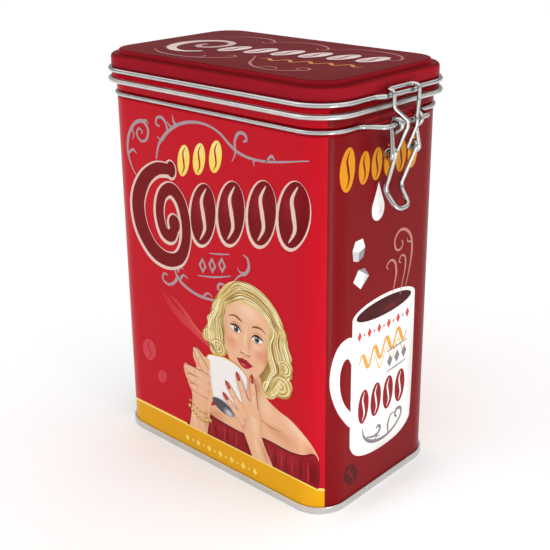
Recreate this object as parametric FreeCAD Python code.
import FreeCAD, Part
import math
import os
from FreeCAD import Vector

# Clip-top coffee tin: a printed tinplate box with rounded corners, a hinged lid
# and a wire toggle clip.  Millimetres.  The origin is the centre of the base on
# the surface the tin stands on; +Z is up, X runs along the wide face, the clip
# is on the +X side, the lid hinge on the -X side and the printed front at -Y.

os.makedirs("parts", exist_ok=True)

# ---- driving dimensions -------------------------------------------------
HALF_LENGTH = 60.0        # body, outside, along X
HALF_WIDTH = 37.0         # body, outside, along Y
CORNER = 13.0             # outside corner radius of the body
SHEET = 0.3               # tinplate
LAP = 0.02                # air between two folded layers of sheet

HOOP_WIRE = 1.9           # wire diameters
LEVER_WIRE = 1.8
BAIL_WIRE = 1.6
RUNNING = 0.08            # radial play of a wire in a wire eye

BODY_HOOP_Z = 155.0       # groove and hoop of the body
RIM_TOP_Z = 168.15        # rolled mouth of the body
LID_HOOP_Z = 165.0        # bead and hoop of the lid
HEM_Z = 160.8             # rolled lower edge of the lid
LEDGE_Z = 171.2           # step round the lid
TOP_Z = 172.9             # raised panel of the lid
LID_OUT = 1.8             # the lid's skirt stands this far outside the body
STEP_IN = 3.3             # from the skirt in to the wall of the raised panel
BASE_PANEL_Z = 3.4        # recessed base
BASE_RISE = 0.8           # raised middle of the base
SEAM_HEIGHT = 2.95        # double seam round the bottom

PIVOT_OUT = 7.6           # lever pivot, outside the body's face
PIVOT_Z = BODY_HOOP_Z
TOGGLE_OUT = 5.6          # pivot of the bail in the lever's coils
TOGGLE_Z = 144.1
BAR_OUT = 3.6             # the bail's top bar, behind the lid hoop's catch
BAR_Z = 167.15
CATCH_OUT = 4.6           # the lid hoop bows out to here under the bar
STRAND_OUT = 6.95
STRAND_Y = 7.7
NECK_Y = 2.9
KINK_OUT = 2.0            # the lever's bend nearest the body
KINK_Z = 128.8
TIP_OUT = 7.2
TIP_Z = 122.0
HOOK_END = -50.0          # degrees below level where the lever's hooks straighten
TAIL = 3.2                # straight end of each hook
HINGE_Z = 159.0

# ---- worked-out dimensions ----------------------------------------------
HOOP_R = HOOP_WIRE / 2
LEVER_R = LEVER_WIRE / 2
BAIL_R = BAIL_WIRE / 2
LID_HOOP_OUT = LID_OUT + HOOP_R - 0.4          # the bead takes in 0.4 of the wire
NECK_OUT = PIVOT_OUT + HOOP_R + BAIL_R + 0.35  # the bail's neck passes the pivot bar
HOOK_R = HOOP_R + LEVER_R + RUNNING            # lever hook round the pivot bar
COIL_R = BAIL_R + LEVER_R + RUNNING            # lever coil round the bail's pin
EYE_R = HOOP_R + HOOP_R + RUNNING              # body hoop's eye round the lid hoop's pin
HINGE_OUT = NECK_OUT + BAIL_R - EYE_R - HOOP_R # both ends reach equally far out
HELIX = 0.96                                   # fillet share in a coil that also advances


# ---- outlines -----------------------------------------------------------
def rounded_edges(points, closed=False):
    """Straight runs joined by tangent arcs; each point is (position, radius)."""
    count = len(points)
    starts = []
    ends = []
    mids = []
    for i, (corner, radius) in enumerate(points):
        inner = closed or 0 < i < count - 1
        if not inner or radius <= 0:
            starts.append(corner)
            ends.append(corner)
            mids.append(None)
            continue
        before = (points[i - 1][0] - corner).normalize()
        after = (points[(i + 1) % count][0] - corner).normalize()
        half = before.getAngle(after) / 2
        reach = radius / math.tan(half)
        axis = (before + after).normalize()
        starts.append(corner + before * reach)
        ends.append(corner + after * reach)
        mids.append(corner + axis * (radius / math.sin(half) - radius))
    edges = []
    for i in range(count):
        if mids[i] is not None:
            edges.append(Part.Arc(starts[i], mids[i], ends[i]).toShape())
        if i + 1 == count and not closed:
            break
        follow = starts[(i + 1) % count]
        if ends[i].distanceToPoint(follow) > 1e-5:
            edges.append(Part.LineSegment(ends[i], follow).toShape())
    return edges


def rod(points, diameter):
    """Round wire bent along points; each point is (x, y, z, bend radius)."""
    route = [(Vector(x, y, z), r) for x, y, z, r in points]
    path = Part.Wire(rounded_edges(route))
    heading = (route[1][0] - route[0][0]).normalize()
    section = Part.Wire(Part.makeCircle(diameter / 2, route[0][0], heading))
    solid = path.makePipeShell([section], True, False)
    wanted = math.pi * diameter ** 2 / 4 * path.Length
    print("rod", round(path.Length, 1), "volume", round(solid.Volume / wanted, 4), solid.isValid())
    return solid


def sheet_section(points, thickness=SHEET):
    """Section of a bent sheet, from its centre line: (outward, z, radius)."""
    flat = [Vector(o, 0, z) for o, z, r in points]
    sides = []
    for sign in (1, -1):
        side = []
        for i, (o, z, radius) in enumerate(points):
            ahead = (flat[min(i + 1, len(flat) - 1)] - flat[min(i, len(flat) - 2)]).normalize()
            behind = (flat[max(i, 1)] - flat[max(i - 1, 0)]).normalize()
            normal_a = Vector(-ahead.z, 0, ahead.x)
            normal_b = Vector(-behind.z, 0, behind.x)
            across = (normal_a + normal_b).normalize()
            shift = thickness / 2 / across.dot(normal_a)
            turning = behind.x * ahead.z - behind.z * ahead.x
            bend = radius - sign * math.copysign(thickness / 2, turning) if radius > 0 else 0
            side.append((flat[i] + across * (sign * shift), max(bend, 0)))
        sides.append(side)
    outline = sides[0] + sides[1][::-1]
    return Part.Face(Part.Wire(rounded_edges(outline, closed=True)))


def block_section(low_out, high_out, low_z, high_z, radius):
    corners = [(low_out, low_z), (high_out, low_z), (high_out, high_z), (low_out, high_z)]
    outline = [(Vector(o, 0, z), radius) for o, z in corners]
    return Part.Face(Part.Wire(rounded_edges(outline, closed=True)))


def round_the_tin(section):
    """Carry a section, drawn outward from the body's face, once round the tin."""
    run_x = HALF_LENGTH - CORNER
    run_y = HALF_WIDTH - CORNER
    sides = []
    for turn, out, half in ((0, HALF_LENGTH, run_y), (90, HALF_WIDTH, run_x),
                            (180, HALF_LENGTH, run_y), (270, HALF_WIDTH, run_x)):
        side = section.translated(Vector(out, -half, 0)).extrude(Vector(0, 2 * half, 0))
        sides.append(side.rotated(Vector(0, 0, 0), Vector(0, 0, 1), turn))
        corner = section.translated(Vector(CORNER, 0, 0))
        corner = corner.revolve(Vector(0, 0, 0), Vector(0, 0, 1), 90)
        corner = corner.rotated(Vector(0, 0, 0), Vector(0, 0, 1), turn)
        sign_x = 1 if turn in (0, 270) else -1
        sign_y = 1 if turn in (0, 90) else -1
        sides.append(corner.translated(Vector(sign_x * run_x, sign_y * run_y, 0)))
    return sides[0].multiFuse(sides[1:]).removeSplitter()


def plate(out, low_z, high_z):
    """Flat rounded plate whose edge lies 'out' from the body's outline."""
    x = HALF_LENGTH + out
    y = HALF_WIDTH + out
    radius = CORNER + out
    corners = [Vector(x, -y, low_z), Vector(x, y, low_z), Vector(-x, y, low_z), Vector(-x, -y, low_z)]
    outline = Part.Wire(rounded_edges([(c, radius) for c in corners], closed=True))
    return Part.Face(outline).extrude(Vector(0, 0, high_z - low_z))


def save(name, shape):
    solids = shape.Solids
    print(name, "solids", len(solids), "valid", shape.isValid(), "volume", round(shape.Volume, 1))
    out = solids[0] if len(solids) == 1 else Part.makeCompound(solids)
    out.exportStep("parts/" + name + ".step")


# ---- tinplate pieces ----------------------------------------------------
def can_body():
    wall = -SHEET / 2
    groove = -HOOP_R - 0.05 - SHEET / 2
    hook = wall + 2 * (SHEET + LAP)
    foot = SHEET + LAP + SHEET / 2
    curl = 0.33
    rim = RIM_TOP_Z - SHEET / 2
    section = sheet_section([
        (hook, SEAM_HEIGHT - 0.65, 0),
        (hook, foot, 0.17),
        (wall, foot, 0.17),
        (wall, BODY_HOOP_Z - 1.8, 0.9),
        (groove, BODY_HOOP_Z - 0.7, 0.9),
        (groove, BODY_HOOP_Z + 0.7, 0.9),
        (wall, BODY_HOOP_Z + 1.8, 0.9),
        (wall, rim, curl),
        (wall + 2 * curl, rim, curl),
        (wall + 2 * curl, rim - 2 * curl, curl),
        (wall + 0.22, rim - 2 * curl, 0),
    ])
    return round_the_tin(section)


def base_plate():
    chuck_wall = -SHEET * 1.5 - LAP
    outer = chuck_wall + 4 * (SHEET + LAP)
    hook = chuck_wall + 2 * (SHEET + LAP)
    inset = -10.0
    low = BASE_PANEL_Z
    high = BASE_PANEL_Z + BASE_RISE
    section = sheet_section([
        (inset, high, 0),
        (-7.5, high, 0.8),
        (-6.3, low, 0.8),
        (-2.2, low, 0.6),
        (chuck_wall, low - 0.2, 0.5),
        (chuck_wall, SHEET / 2, 0.17),
        (outer, SHEET / 2, 0.17),
        (outer, SEAM_HEIGHT - SHEET / 2, 0.17),
        (hook, SEAM_HEIGHT - SHEET / 2, 0.17),
        (hook, 0.85, 0),
    ])
    middle = plate(inset, high - SHEET / 2, high + SHEET / 2)
    return round_the_tin(section).fuse(middle).removeSplitter()


def seam_sealant():
    """Sealing compound in the pocket at the foot of the base plate's hook."""
    inner = LAP
    low = 2 * (SHEET + LAP)
    return round_the_tin(block_section(inner, inner + SHEET, low, 0.83, 0.05))


def lid_shell():
    skirt = LID_OUT - SHEET / 2
    bead = LID_HOOP_OUT - HOOP_R - 0.04 - SHEET / 2
    step = LID_OUT - STEP_IN - SHEET / 2
    curl = HOOP_R - SHEET / 2
    foot = HEM_Z - curl
    inset = -9.0
    section = sheet_section([
        (inset, TOP_Z - SHEET / 2, 0),
        (step, TOP_Z - SHEET / 2, 0.7),
        (step, LEDGE_Z - SHEET / 2, 0.45),
        (skirt, LEDGE_Z - SHEET / 2, 1.3),
        (skirt, LID_HOOP_Z + 1.7, 0.8),
        (bead, LID_HOOP_Z + 0.9, 0.8),
        (bead, LID_HOOP_Z - 0.9, 0.8),
        (skirt, LID_HOOP_Z - 1.7, 0.8),
        (skirt, foot, curl),
        (skirt + 2 * curl, foot, curl),
        (skirt + 2 * curl, foot + 2 * curl, curl),
        (skirt + 0.35, foot + 2 * curl, 0),
    ])
    middle = plate(inset, TOP_Z - SHEET, TOP_Z)
    return round_the_tin(section).fuse(middle).removeSplitter()


def gasket():
    """Silicone ring under the lid's step; it closes on the rolled mouth."""
    inner = LID_OUT - STEP_IN - 0.1
    outer = LID_OUT - SHEET - 0.55
    low = RIM_TOP_Z + 0.25
    high = LEDGE_Z - SHEET - 0.02
    return round_the_tin(block_section(inner, outer, low, high, 0.6))


# ---- wires --------------------------------------------------------------
def mirrored(half):
    """The half of a wire at +Y, from its middle outwards, and its mirror image."""
    other = [(x, -y, z, r) for x, y, z, r in half]
    return other[::-1] + half


def body_hoop():
    """One wire: its ends meet on the pivot bar, its middle holds the hinge eyes."""
    x = HALF_LENGTH
    y = HALF_WIDTH
    z = BODY_HOOP_Z
    hinge = -x - HINGE_OUT
    turn = HELIX * EYE_R
    bridge = hinge + EYE_R
    half = [
        (bridge, 7.0, HINGE_Z - 2.6, 1.3),
        (bridge, 7.5, HINGE_Z + EYE_R, turn),
        (hinge - EYE_R, 8.1, HINGE_Z + EYE_R, turn),
        (hinge - EYE_R, 8.7, HINGE_Z - EYE_R, turn),
        (-x - 3.6, 9.3, HINGE_Z - EYE_R, 3.0),
        (-x, 14.0, z, 3.5),
        (-x, y, z, CORNER),
        (x, y, z, CORNER),
        (x, 17.5, z, 4.0),
        (x + PIVOT_OUT, 13.2, PIVOT_Z, 2.5),
        (x + PIVOT_OUT, 0.15, PIVOT_Z, 0),
    ]
    return rod(mirrored(half), HOOP_WIRE)


def lid_hoop():
    """One wire: its ends are the hinge pins, its middle bows out as the catch."""
    x = HALF_LENGTH + LID_HOOP_OUT
    y = HALF_WIDTH + LID_HOOP_OUT
    z = LID_HOOP_Z
    corner = CORNER + LID_HOOP_OUT
    hinge = -HALF_LENGTH - HINGE_OUT
    half = [
        (HALF_LENGTH + CATCH_OUT, 9.6, z, 2.5),
        (x, 13.0, z, 3.0),
        (x, y, z, corner),
        (-x, y, z, corner),
        (-x, 17.0, z, 2.5),
        (hinge, 12.4, HINGE_Z, 1.8),
        (hinge, 5.6, HINGE_Z, 0),
    ]
    return rod(mirrored(half), HOOP_WIRE)


def wound(out, height, radius, start, end, start_y, end_y):
    """Corners of a wire wound round a bar along Y, from one angle to another."""
    count = math.ceil(abs(end - start) / 90)
    span = math.radians(end - start) / count
    reach = radius / math.cos(span / 2)
    corners = []
    for step in range(count):
        angle = math.radians(start) + (step + 0.5) * span
        x = HALF_LENGTH + out + reach * math.cos(angle)
        z = height + reach * math.sin(angle)
        y = start_y + (end_y - start_y) * (step + 0.5) / count
        corners.append((x, y, z, HELIX * radius))
    return corners


def clip_lever():
    """One wire: open hooks on the pivot bar, coils for the bail, bent handle."""
    across = PIVOT_OUT - TOGGLE_OUT
    rise = PIVOT_Z - TOGGLE_Z
    lean = math.asin((HOOK_R + COIL_R) / math.hypot(across, rise))
    arm = math.degrees(math.atan2(rise, across) + lean) - 90
    to_kink = math.hypot(TOGGLE_OUT - KINK_OUT, TOGGLE_Z - KINK_Z)
    leg = math.atan2(KINK_Z - TOGGLE_Z, KINK_OUT - TOGGLE_OUT) + math.acos(COIL_R / to_kink)
    last = math.radians(HOOK_END)
    tail_x = HALF_LENGTH + PIVOT_OUT + HOOK_R * math.cos(last) + TAIL * math.sin(last)
    tail_z = PIVOT_Z + HOOK_R * math.sin(last) - TAIL * math.cos(last)
    half = [
        (HALF_LENGTH + TIP_OUT, 3.9, TIP_Z, 3.2),
        (HALF_LENGTH + KINK_OUT, 4.7, KINK_Z, 4.0),
    ]
    half += wound(TOGGLE_OUT, TOGGLE_Z, COIL_R, math.degrees(leg), 360 + arm, 6.3, 8.5)
    half += wound(PIVOT_OUT, PIVOT_Z, HOOK_R, 180 + arm, HOOK_END, 7.4, 5.7)
    half.append((tail_x, 5.5, tail_z, 0))
    return rod(mirrored(half), LEVER_WIRE)


def clip_bail():
    """One wire: bar over the lid hoop, neck outside the pivot bar, two pins."""
    x = HALF_LENGTH
    half = [
        (x + BAR_OUT, STRAND_Y - 0.1, BAR_Z, 1.5),
        (x + STRAND_OUT, STRAND_Y, BAR_Z - 0.1, 1.5),
        (x + STRAND_OUT, STRAND_Y, BAR_Z - 6.0, 2.5),
        (x + NECK_OUT, NECK_Y, PIVOT_Z + 1.2, 2.0),
        (x + NECK_OUT, NECK_Y, PIVOT_Z - 1.4, 2.0),
        (x + TOGGLE_OUT, NECK_Y + 0.3, TOGGLE_Z, 1.2),
        (x + TOGGLE_OUT, 9.9, TOGGLE_Z, 0),
    ]
    return rod(mirrored(half), BAIL_WIRE)


save("can_body", can_body())
save("base_plate", base_plate())
save("seam_sealant", seam_sealant())
save("lid_shell", lid_shell())
save("gasket", gasket())
save("body_hoop", body_hoop())
save("lid_hoop", lid_hoop())
save("clip_lever", clip_lever())
save("clip_bail", clip_bail())
